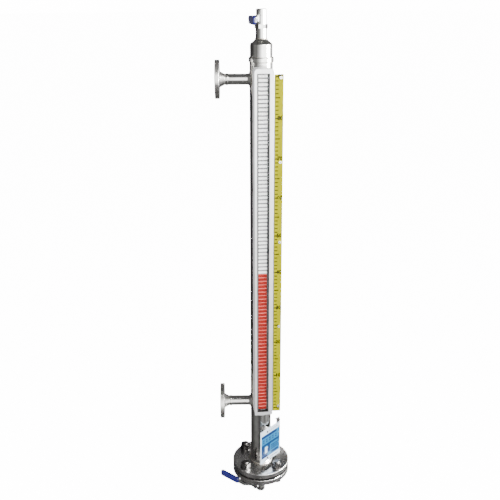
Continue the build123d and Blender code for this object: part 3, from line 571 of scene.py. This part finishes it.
NODE_FINISHES = {
    "polished_tube": ("chamber_tube", "top_collar", "top_cap", "vent_nipple", "drain_nipple",
                      "float_tube", "float_top_cap", "float_bottom_cap"),
    "polished_pipe": ("lower_nozzle", "upper_nozzle"),
    "turned_flange": ("end_flange", "blind_flange"),
    "side_flange": ("lower_flange", "upper_flange"),
    "dark_bolt": ("flange_bolts", "flange_nuts", "flange_washers", "ear_screw", "mount_screws"),
    "cast_valve": ("vent_body", "vent_end_piece", "vent_packing_nut", "vent_lever", "vent_stem",
                   "vent_ball", "vent_lever_nut", "drain_lever", "drain_ball"),
    "dull_valve": ("drain_body", "drain_end_piece", "drain_packing_nut", "drain_stem",
                   "drain_lever_nut"),
    "blue_grip": ("vent_sleeve", "drain_sleeve"),
    "seat_polymer": ("vent_seats", "drain_seats"),
    "sheet_rubber": ("flange_gasket", "lower_buffer", "upper_buffer"),
    "ring_magnet": ("float_magnet",),
    "housing_satin": ("housing_box", "mount_bar"),
    "bezel_satin": ("bezel",),
    "bracket_painted_shade": ("nameplate_bracket",),
    "dark_rivet": ("nameplate_rivets",),
    # Painted shade on the flap channel and the ruler's shelf.
    "channel_painted_shade": ("flap_channel", "ruler_bracket"),
    "clear_pane": ("window_glass",),
    "white_flap": ("white_flaps",),
    "red_flap": ("red_flaps",),
    "yellow_enamel": ("ruler",),
    "bright_fastener": ("ruler_screws", "bracket_rivets"),
    "plate_white": ("nameplate",),
}


def dress_nodes() -> None:
    """Gives every carried-over piece its finish."""
    for finish, names in NODE_FINISHES.items():
        for name in names:
            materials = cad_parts[name].data.materials
            materials.clear()
            materials.append(MATERIALS[finish])
    log.info("dressed %d pieces of the frame", len(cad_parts))


# ---- Added pieces --------------------------------------------------------------------
def add_piece(
    name: str, mesh: bpy.types.Mesh, finish: str, body: Body = Body.GAUGE
) -> None:
    """Puts a mesh in the scene as a piece that rides on a body.

    Args:
        name: the piece's name.
        mesh: its mesh, in metres in the gauge's frame.
        finish: name of its finish.
        body: the body it rides on.
    """
    mesh.name = name
    mesh.materials.append(MATERIALS[finish])
    piece = bpy.data.objects.new(name, mesh)
    bpy.context.scene.collection.objects.link(piece)
    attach(piece, body.value)
    log.info("added %s, %d faces", name, len(mesh.polygons))


def finish_mesh(draft: bmesh.types.BMesh, smooth: bool = False) -> bpy.types.Mesh:
    """Turns a drafted mesh into a plain one with its faces looking out.

    Args:
        draft: the drafted mesh, freed here.
        smooth: whether its faces are shaded smoothly.

    Returns:
        The mesh.
    """
    bmesh.ops.recalc_face_normals(draft, faces=draft.faces)
    for face in draft.faces:
        face.smooth = smooth
    mesh = bpy.data.meshes.new("piece")
    draft.to_mesh(mesh)
    draft.free()
    return mesh


# Faces of a block, by corner: its back's four corners in turn, then its front's.
BLOCK_FACES = (
    (0, 1, 2, 3), (4, 5, 6, 7), (0, 1, 5, 4), (1, 2, 6, 5), (2, 3, 7, 6), (3, 0, 4, 7),
)


@dataclass(frozen=True)
class Patch:
    """Printed rectangle on a flat front: its middle, width and height in millimetres."""

    across: float
    up: float
    width: float
    height: float


def patch_mesh(
    place: Place, out: float, thick: float, patches: Iterable[Patch]
) -> bpy.types.Mesh:
    """Mesh of thin printed rectangles.

    Args:
        place: the place whose front they lie on.
        out: stand-off of the surface they lie on.
        thick: thickness of the print.
        patches: the rectangles.

    Returns:
        Their mesh.
    """
    draft = bmesh.new()
    for patch in patches:
        corners = []
        for depth in (out, out + thick):
            for side, level in ((-1, -1), (1, -1), (1, 1), (-1, 1)):
                across = patch.across + side * patch.width / 2
                up = patch.up + level * patch.height / 2
                corners.append(draft.verts.new(place.point(across, depth, up)))
        for loop in BLOCK_FACES:
            draft.faces.new([corners[index] for index in loop])
    return finish_mesh(draft)


def swept_mesh(rings: Sequence[Sequence[Point]], closed: bool) -> bpy.types.Mesh:
    """Mesh of a cord given by its cross-sections in order.

    Args:
        rings: cross-sections with the same number of points each.
        closed: whether the last joins the first.

    Returns:
        The cord's mesh.
    """
    draft = bmesh.new()
    rows = [[draft.verts.new(point) for point in ring] for ring in rings]
    count = len(rows[0])
    pairs = list(zip(rows, rows[1:]))
    if closed:
        pairs.append((rows[-1], rows[0]))
    for first, second in pairs:
        for i in range(count):
            j = (i + 1) % count
            draft.faces.new((first[i], first[j], second[j], second[i]))
    if not closed:
        draft.faces.new(rows[0])
        draft.faces.new(rows[-1])
    return finish_mesh(draft, smooth=True)


@dataclass
class RulerPrint:
    """Graduations and numerals of the ruler. A tick is a length and a height."""

    left: float = 27.4
    out: float = 63.0
    zero: float = 13.0
    step: float = 10.0
    count: int = 91
    thick: float = 0.12
    margin: float = 0.4
    single: tuple[float, float] = (7.5, 2.4)
    fifth: tuple[float, float] = (11.5, 2.6)
    tenth: tuple[float, float] = (8.0, 3.0)
    long_every: int = 5
    label_every: int = 10
    numeral_size: float = 13.5
    numeral_weight: float = 0.55
    numeral_across: float = 12.4
    numeral_rise: float = 0.5

    def ticks(self) -> list[Patch]:
        """Graduation lines, longest at each fifth and heaviest at each tenth.

        Returns:
            The lines.
        """
        lines = []
        for number in range(self.count):
            coarser = self.fifth if number % self.long_every == 0 else self.single
            length, height = self.tenth if number % self.label_every == 0 else coarser
            across = self.left + self.margin + length / 2
            lines.append(Patch(across, self.zero + number * self.step, length, height))
        return lines

    def numeral(self, number: int) -> bpy.types.Mesh:
        """Flat numeral beside its graduation.

        Args:
            number: the number to print.

        Returns:
            Its mesh, in place.
        """
        curve = bpy.data.curves.new("numeral", "FONT")
        curve.body = str(number)
        curve.size = self.numeral_size * MM
        curve.align_x, curve.align_y = "CENTER", "CENTER"
        curve.extrude = self.thick * MM / 2
        curve.offset = self.numeral_weight * MM
        holder = bpy.data.objects.new("numeral", curve)
        mesh = bpy.data.meshes.new_from_object(holder)
        bpy.data.objects.remove(holder)
        across = self.left + self.numeral_across
        up = self.zero + number * self.step + self.numeral_rise
        mesh.transform(INDICATOR.matrix(across, self.out + self.thick / 2, up))
        return mesh

    def build(self) -> None:
        """Adds the graduations and the numerals."""
        ticks = patch_mesh(INDICATOR, self.out, self.thick, self.ticks())
        add_piece("ruler_graduations", ticks, "black_print")
        draft = bmesh.new()
        for number in range(0, self.count, self.label_every):
            draft.from_mesh(self.numeral(number))
        add_piece("ruler_numerals", finish_mesh(draft), "black_print")


@dataclass
class PlatePrint:
    """Generic printed panels of the nameplate.

    A panel is the left, right, lower and upper edge, as shares of the plate's width and height.
    """

    left: float = -42.0
    foot: float = -175.0
    width: float = 81.0
    height: float = 105.0
    out: float = 39.0
    thick: float = 0.08
    field: Shares = (0.04, 0.965, 0.135, 0.84)
    title_band: Shares = (0.05, 0.82, 0.755, 0.825)
    title_shade: Shares = (0.10, 0.80, 0.775, 0.80)
    middle_band: Shares = (0.05, 0.95, 0.49, 0.555)
    left_block: Shares = (0.05, 0.20, 0.22, 0.49)
    right_block: Shares = (0.36, 0.48, 0.26, 0.49)
    block_foot: Shares = (0.20, 0.36, 0.22, 0.25)
    foot_band: Shares = (0.55, 0.90, 0.175, 0.24)
    foot_corner: Shares = (0.05, 0.34, 0.15, 0.21)
    lower_side: Shares = (0.94, 0.975, 0.24, 0.49)
    upper_side: Shares = (0.945, 0.985, 0.49, 0.87)
    light_block: Shares = (0.22, 0.34, 0.27, 0.46)
    light_arm: Shares = (0.25, 0.37, 0.40, 0.43)
    letter_rows: Shares = (0.12, 0.90, 0.60, 0.73)
    word_rows: Shares = (0.54, 0.90, 0.285, 0.46)
    head_row: Shares = (0.44, 0.90, 0.895, 0.94)
    foot_row: Shares = (0.50, 0.88, 0.05, 0.10)
    letters: Sequence[float] = (0.0, 0.1, 0.2, 0.3, 0.4, 0.5, 0.6, 0.7, 0.8, 0.9)
    words: Sequence[float] = (0.0, 0.16, 0.2, 0.42, 0.46, 0.6, 0.64, 0.86, 0.9, 1.0)
    bar_height: float = 0.6

    def patch(self, panel: Shares) -> Patch:
        """Rectangle of a panel.

        Args:
            panel: its edges, in shares.

        Returns:
            The rectangle.
        """
        left, right, foot, head = panel
        across = self.left + self.width * (left + right) / 2
        up = self.foot + self.height * (foot + head) / 2
        return Patch(across, up, self.width * (right - left), self.height * (head - foot))

    def rows(self, panel: Shares, marks: Sequence[float], lines: int = 1) -> list[Patch]:
        """Rows of short bars that stand for small print.

        Args:
            panel: edges of all the rows together, in shares.
            marks: shares of the width at which each bar starts and ends, in turn.
            lines: number of rows.

        Returns:
            The bars.
        """
        left, right, foot, head = panel
        bars = []
        pitch = (head - foot) / lines
        for line in range(lines):
            base = foot + line * pitch
            for start, end in zip(marks[::2], marks[1::2]):
                first, last = left + (right - left) * start, left + (right - left) * end
                bars.append(self.patch((first, last, base, base + pitch * self.bar_height)))
        return bars

    def layers(self) -> list[tuple[str, int, list[Patch]]]:
        """Layers of the print, from the plate outward.

        Returns:
            Each layer's finish, thickness in coats, and rectangles.
        """
        bands = (self.title_band, self.middle_band, self.left_block, self.right_block,
                 self.block_foot, self.foot_band)
        shades = (self.foot_corner, self.upper_side, self.title_shade)
        small = [*self.rows(self.letter_rows, self.letters, lines=2),
                 *self.rows(self.word_rows, self.words, lines=3)]
        margins = [*self.rows(self.head_row, self.letters), *self.rows(self.foot_row, self.words)]
        return [
            ("plate_pale", 1, [self.patch(self.field)]),
            ("plate_sky", 2, [*map(self.patch, bands), *small, self.patch(self.lower_side)]),
            ("plate_navy", 3, [*map(self.patch, shades)]),
            ("plate_white", 3, [self.patch(self.light_block), self.patch(self.light_arm)]),
            ("plate_sky", 1, margins),
        ]

    def build(self) -> None:
        """Adds the panels, layer on layer."""
        for index, (finish, coats, patches) in enumerate(self.layers()):
            mesh = patch_mesh(PLATE, self.out, self.thick * coats, patches)
            add_piece(f"plate_print_{index}", mesh, finish)


@dataclass
class WeldBead:
    """Rippled weld bead along a closed path."""

    name: str
    path: Callable[[float], Vector]
    radius: float
    ripples: int
    slot: str = "tube_steel"
    segments: int = 5
    sides: int = 8
    waist: float = 0.82
    swell: float = 0.18
    nudge: float = 1e-3
    steep: float = 0.8

    def build(self) -> None:
        """Adds the bead."""
        count = self.ripples * self.segments
        angles = [2 * math.pi * k / self.sides for k in range(self.sides)]
        rings = []
        for i in range(count):
            share = i / count
            here = self.path(share)
            ahead = self.path(share + self.nudge) - self.path(share - self.nudge)
            ahead = ahead.normalized()
            level = UP if abs(ahead.z) < self.steep else Vector((0.0, 1.0, 0.0))
            side = ahead.cross(level).normalized()
            rise = side.cross(ahead)
            phase = (i % self.segments) / self.segments
            size = self.radius * (self.waist + self.swell * math.sin(math.pi * phase))
            rings.append([
                (here + side * size * math.cos(angle) + rise * size * math.sin(angle)) * MM
                for angle in angles
            ])
        add_piece(self.name, swept_mesh(rings, closed=True), "weld_metal")


def level_path(radius: float, up: float) -> Callable[[float], Vector]:
    """Circle about the chamber's axis.

    Args:
        radius: its radius in millimetres.
        up: its height.

    Returns:
        The path, from a share of the way round to a point in millimetres.
    """
    def path(share: float) -> Vector:
        """Point at a share of the way round."""
        angle = 2 * math.pi * share
        return Vector((CHAMBER.reach + radius * math.cos(angle), radius * math.sin(angle), up))

    return path


def saddle_path(radius: float, tube: float, up: float) -> Callable[[float], Vector]:
    """Line where a side pipe meets the chamber.

    Args:
        radius: radius of the pipe's root.
        tube: radius of the chamber.
        up: height of the pipe's axis.

    Returns:
        The path, from a share of the way round to a point in millimetres.
    """
    def path(share: float) -> Vector:
        """Point at a share of the way round.

        Args:
            share: share of the way, from 0 to 1.

        Returns:
            The point in millimetres.
        """
        angle = 2 * math.pi * share
        across, rise = radius * math.cos(angle), radius * math.sin(angle)
        return Vector((CHAMBER.reach - math.sqrt(tube ** 2 - across ** 2), across, up + rise))

    return path


@dataclass
class Thread:
    """Helical ridge on a plain shank, or inside a plain hole if inward.

    The ridge's height and half width are shares of its pitch.
    """

    name: str
    centres: Sequence[Point]
    radius: float
    pitch: float
    foot: float
    head: float
    finish: str
    slot: str
    inward: bool = False
    steps: int = 28
    run_out: int = 6
    shank_height: float = 0.16
    hole_height: float = -0.5
    half_width: float = 0.45
    root_depth: float = 0.15

    def ridge(self, centre: Point) -> list[list[Vector]]:
        """Cross-sections of the ridge about one centre.

        Args:
            centre: X and Y of the axis, in millimetres.

        Returns:
            The cross-sections, in metres.
        """
        height = self.pitch * (self.hole_height if self.inward else self.shank_height)
        root = self.radius + (self.root_depth if self.inward else -self.root_depth)
        count = int((self.head - self.foot - self.pitch) / self.pitch * self.steps)
        rings = []
        for i in range(count + 1):
            angle = 2 * math.pi * i / self.steps
            level = self.foot + self.pitch * (0.5 + i / self.steps)
            tip = height * min(1.0, i / self.run_out, (count - i) / self.run_out)
            profile = ((root, -self.half_width), (self.radius + tip, 0.0), (root, self.half_width))
            rings.append([
                Vector((
                    centre[0] + radius * math.cos(angle),
                    centre[1] + radius * math.sin(angle),
                    level + share * self.pitch,
                )) * MM
                for radius, share in profile
            ])
        return rings

    def build(self) -> None:
        """Adds the ridges as one piece."""
        draft = bmesh.new()
        for centre in self.centres:
            mesh = swept_mesh(self.ridge(centre), closed=False)
            draft.from_mesh(mesh)
        add_piece(self.name, finish_mesh(draft), self.finish)


@dataclass
class ScrewSlots:
    """Painted shade in the crossed recesses of the ruler's screws, as thin dark bars."""

    across: float = 40.8
    out: float = 65.0
    foot: float = 2.4
    length: float = 915.8
    shares: Sequence[float] = (0.018, 0.281, 0.539, 0.767, 0.992)
    bar_length: float = 3.6
    bar_width: float = 0.8
    thick: float = 0.05

    def build(self) -> None:
        """Adds the dark bars that paint the recesses' shade."""
        bars = []
        for share in self.shares:
            up = self.foot + share * self.length
            bars.append(Patch(self.across, up, self.bar_length, self.bar_width))
            bars.append(Patch(self.across, up, self.bar_width, self.bar_length))
        # Painted shade: black ink bars stand for the shade inside each cross recess.
        mesh = patch_mesh(INDICATOR, self.out, self.thick, bars)
        add_piece("screw_recess_shade", mesh, "black_print")


@dataclass(frozen=True)
class RingWeld:
    """Level weld round the chamber's axis: its ring's radius and height, and its bead."""

    name: str
    ring: float
    up: float
    bead: float
    ripples: int
    slot: str = "tube_steel"


RING_WELDS = (
    RingWeld("flange_weld", ring=31.6, up=-189.3, bead=2.4, ripples=44, slot="flange_steel"),
    RingWeld("collar_weld", ring=28.5, up=941.4, bead=1.0, ripples=60),
    RingWeld("cap_weld", ring=27.6, up=953.4, bead=0.9, ripples=60),
    RingWeld("vent_nipple_weld", ring=13.9, up=997.2, bead=1.3, ripples=28),
    RingWeld("drain_nipple_weld", ring=14.4, up=-226.2, bead=1.7, ripples=26),
)


@dataclass
class Pressure:
    """Weld beads and threads of the chamber, its flanges and its valves.

    A thread's span is its lowest and highest point.
    """

    tube: float = 28.5
    spacing: float = 900.0
    nozzle_root: float = 17.4
    nozzle_bead: float = 1.5
    nozzle_ripples: int = 26
    bolt_circle: float = 62.5
    bolt_radius: float = 8.0
    bolt_pitch: float = 2.0
    bolt_span: tuple[float, float] = (-176.0, -171.6)
    outlet_radius: float = 8.33
    outlet_pitch: float = 1.337
    vent_span: tuple[float, float] = (1056.0, 1066.0)
    drain_span: tuple[float, float] = (-299.0, -289.0)

    def welds(self) -> None:
        """Adds the weld beads."""
        for name, up in (("lower", 0.0), ("upper", self.spacing)):
            path = saddle_path(self.nozzle_root, self.tube, up)
            WeldBead(f"{name}_nozzle_weld", path, self.nozzle_bead, self.nozzle_ripples).build()
        for weld in RING_WELDS:
            path = level_path(weld.ring, weld.up)
            WeldBead(weld.name, path, weld.bead, weld.ripples, weld.slot).build()

    def threads(self) -> None:
        """Adds the threads of the bolts and of the valves' outlets."""
        reach, aside = CHAMBER.reach, self.bolt_circle / math.sqrt(2)
        corners = [(reach + i * aside, j * aside) for i in (-1, 1) for j in (-1, 1)]
        Thread("bolt_threads", corners, self.bolt_radius, self.bolt_pitch, *self.bolt_span,
               "dark_bolt", "bolt_steel").build()
        for name, span in (("vent_thread", self.vent_span), ("drain_thread", self.drain_span)):
            Thread(name, [(reach, 0.0)], self.outlet_radius, self.outlet_pitch, *span,
                   "cast_valve", "valve_steel", inward=True).build()

    def build(self) -> None:
        """Adds the beads and the threads."""
        self.welds()
        self.threads()


# ---- Studio --------------------------------------------------------------------------
@dataclass(frozen=True)
class Backdrop:
    """Brightness of the surroundings round the compass, at one band of heights.

    A stop is a bearing in degrees, 0 at the front and 90 at the right, and a brightness.
    """

    stops: Sequence[tuple[float, float]]

    def build(self, nodes: Nodes, bearing: Socket, gain: float) -> Socket:
        """Ramp of brightness over the bearing.

        Args:
            nodes: tree to build in.
            bearing: bearing from 0 to 1, with the front at 0.5.
            gain: brightness that a ramp value of 1 stands for.

        Returns:
            The brightness, as a share of the gain.
        """
        middle, full_turn = 0.5, 360.0
        ramp = nodes.add("ShaderNodeValToRGB")
        elements = ramp.color_ramp.elements
        for _ in self.stops[len(elements):]:
            elements.new(middle)
        for element, (degrees, value) in zip(elements, self.stops):
            element.position = middle + degrees / full_turn
            share = value / gain
            element.color = (share, share, share, 1.0)
        nodes.link(bearing, ramp.inputs[0])
        return ramp.outputs[0]


MIDDLE_BAND = Backdrop((
    (-180, 0.2), (-150, 0.12), (-120, 0.06), (-95, 0.08), (-80, 0.22), (-66, 0.34), (-46, 0.26),
    (-28, 0.8), (-14, 1.8), (-3, 3.6), (10, 8.5), (75, 10.0), (98, 7.0), (114, 2.0), (130, 0.4),
    (150, 0.2), (180, 0.2),
))
LOW_BAND = Backdrop((
    (-180, 0.1), (-140, 0.08), (-114, 0.05), (-97, 0.08), (-82, 0.16), (-57, 0.26), (-35, 0.22),
    (-20, 0.10), (-8, 0.12), (6, 0.30), (20, 0.45), (44, 0.20), (70, 0.55), (92, 0.25), (110, 0.9),
    (130, 0.3), (180, 0.1),
))


class LightUse(Enum):
    """What a studio light feeds: everything, only soft shading, or only mirrored glints."""

    WHOLE = "whole"
    FILL = "fill"
    GLINT = "glint"


@dataclass(frozen=True)
class Softbox:
    """Rectangular soft light: where it hangs, what it faces, its sides, watts and use."""

    name: str
    place: Point
    aim: Point
    size: Point
    power: float
    use: LightUse

    def build(self) -> None:
        """Hangs the light."""
        data = bpy.data.lights.new(self.name, "AREA")
        data.shape = "RECTANGLE"
        data.size, data.size_y = self.size
        data.energy = self.power
        light = bpy.data.objects.new(self.name, data)
        bpy.context.scene.collection.objects.link(light)
        light.location = self.place
        light.visible_glossy = self.use is not LightUse.FILL
        light.visible_diffuse = self.use is not LightUse.GLINT
        beam = Vector(self.aim) - Vector(self.place)
        light.rotation_euler = beam.to_track_quat("-Z", "Y").to_euler()


SOFTBOXES = (
    Softbox("top_light", place=(0.55, -0.75, 1.45), aim=(0.12, 0.0, 0.95), size=(0.5, 0.3),
            power=16.0, use=LightUse.WHOLE),
    Softbox("flange_light", place=(1.5, -0.35, 0.95), aim=(0.12, 0.0, -0.2), size=(0.6, 0.6),
            power=450.0, use=LightUse.GLINT),
    Softbox("left_fill", place=(-2.4, -1.0, 0.8), aim=(0.1, 0.0, 0.45), size=(1.0, 1.0),
            power=110.0, use=LightUse.FILL),
    Softbox("front_fill", place=(0.4, -2.3, 1.3), aim=(0.1, 0.0, 0.45), size=(1.2, 1.2),
            power=90.0, use=LightUse.FILL),
)


@dataclass
class Studio:
    """Floor, lights, surroundings and camera.

    A blend is the pair of heights, from -1 to 1, between which two bands of brightness mix.
    """

    lens: float = 51.03
    eye: Point = (0.0503, -1.7504, 1.1199)
    pan: float = 1.14
    tilt: float = 17.41
    roll: float = -0.22
    rise: float = -0.0854
    room: float = 40.0
    sight: float = 4.0
    wall_sides: int = 96
    floor_gap: float = 0.3
    paint: Colour = (0.5, 0.5, 0.5)
    paint_shade: Colour = (0.49, 0.49, 0.49)
    paint_roughness: float = 0.9
    gain: float = 12.0
    white: float = 14.0
    dim: float = 0.15
    foot_blend: tuple[float, float] = (-0.9, -0.7)
    low_blend: tuple[float, float] = (-0.36, -0.15)
    top_blend: tuple[float, float] = (0.45, 0.75)

    def camera(self) -> None:
        """Places the camera."""
        data = bpy.data.cameras.new("studio_camera")
        data.lens = self.lens
        data.shift_y = self.rise
        data.clip_end = self.sight * self.room
        camera = bpy.data.objects.new("studio_camera", data)
        bpy.context.scene.collection.objects.link(camera)
        pan, tilt, turn = (math.radians(angle) for angle in (self.pan, self.tilt, self.roll))
        level = math.cos(tilt)
        forward = Vector((math.sin(pan) * level, math.cos(pan) * level, -math.sin(tilt)))
        right = Vector((math.cos(pan), -math.sin(pan), 0.0))
        up = right.cross(forward)
        across = right * math.cos(turn) + up * math.sin(turn)
        above = up * math.cos(turn) - right * math.sin(turn)
        matrix = Matrix((across, above, -forward)).transposed().to_4x4()
        matrix.translation = Vector(self.eye)
        camera.matrix_world = matrix
        bpy.context.scene.camera = camera

    def drum(self) -> bpy.types.Mesh:
        """Mesh of the floor, under the lowest point, with a round wall far off.

        Returns:
            The mesh.
        """
        level = CAD_BOX[0][2] - self.floor_gap * MM
        draft = bmesh.new()
        turns = [2 * math.pi * i / self.wall_sides for i in range(self.wall_sides)]
        spots = [(self.room * math.cos(angle), self.room * math.sin(angle)) for angle in turns]
        foot, head = (
            [draft.verts.new((*spot, height)) for spot in spots] for height in (level, self.room)
        )
        draft.faces.new(foot)
        for i in range(self.wall_sides):
            j = (i + 1) % self.wall_sides
            draft.faces.new((foot[i], foot[j], head[j], head[i]))
        return finish_mesh(draft)

    def floor(self) -> None:
        """Lays the pale floor and its wall, lit from within and seen only by the camera."""
        mesh = self.drum()
        floor = bpy.data.objects.new("studio_floor", mesh)
        bpy.context.scene.collection.objects.link(floor)
        paint = CoatFinish("studio_paint", self.paint, self.paint_shade, self.paint_roughness,
                           peel=0.0)
        material = paint.build()
        shader = material.node_tree.nodes["Principled BSDF"]
        shader.inputs["Emission Color"].default_value = (1.0, 1.0, 1.0, 1.0)
        shader.inputs["Emission Strength"].default_value = self.white
        mesh.materials.append(material)
        floor.visible_glossy = False
        floor.visible_diffuse = False
        floor.visible_shadow = False

    def surroundings(self) -> None:
        """Soft surroundings: a broad bright side at the front right, darker ones elsewhere."""
        world = bpy.data.worlds.new("studio")
        bpy.context.scene.world = world
        world.use_nodes = True
        nodes = Nodes(world.node_tree)
        parts = nodes.add("ShaderNodeSeparateXYZ")
        nodes.link(nodes.add("ShaderNodeTexCoord").outputs["Generated"], parts.inputs[0])
        height = parts.outputs["Z"]
        toward = nodes.maths("MULTIPLY", parts.outputs["Y"], -1.0)
        angle = nodes.maths("ARCTAN2", parts.outputs["X"], toward)
        bearing = nodes.maths("ADD", nodes.maths("DIVIDE", angle, 2 * math.pi), 0.5)
        middle = MIDDLE_BAND.build(nodes, bearing, self.gain)
        low = LOW_BAND.build(nodes, bearing, self.gain)
        dim = (self.dim / self.gain,) * 3
        lower = nodes.mix(nodes.spread(height, 0.0, 1.0, *self.foot_blend), dim, low)
        sides = nodes.mix(nodes.spread(height, 0.0, 1.0, *self.low_blend), lower, middle)
        whole = nodes.mix(nodes.spread(height, 0.0, 1.0, *self.top_blend), sides, dim)
        background = world.node_tree.nodes["Background"]
        nodes.link(whole, background.inputs["Color"])
        background.inputs["Strength"].default_value = self.gain

    def build(self) -> None:
        """Sets up the whole studio."""
        self.floor()
        self.surroundings()
        for softbox in SOFTBOXES:
            softbox.build()
        self.camera()
        log.info("studio ready")


def main() -> None:
    """Dresses the frame, adds what it lacks and sets up the studio."""
    dress_nodes()
    for part in (RulerPrint(), PlatePrint(), ScrewSlots(), Pressure(), Studio()):
        part.build()
        log.info("%s done", type(part).__name__)


if __name__ == "__main__":
    logging.basicConfig(level=logging.INFO)
    main()
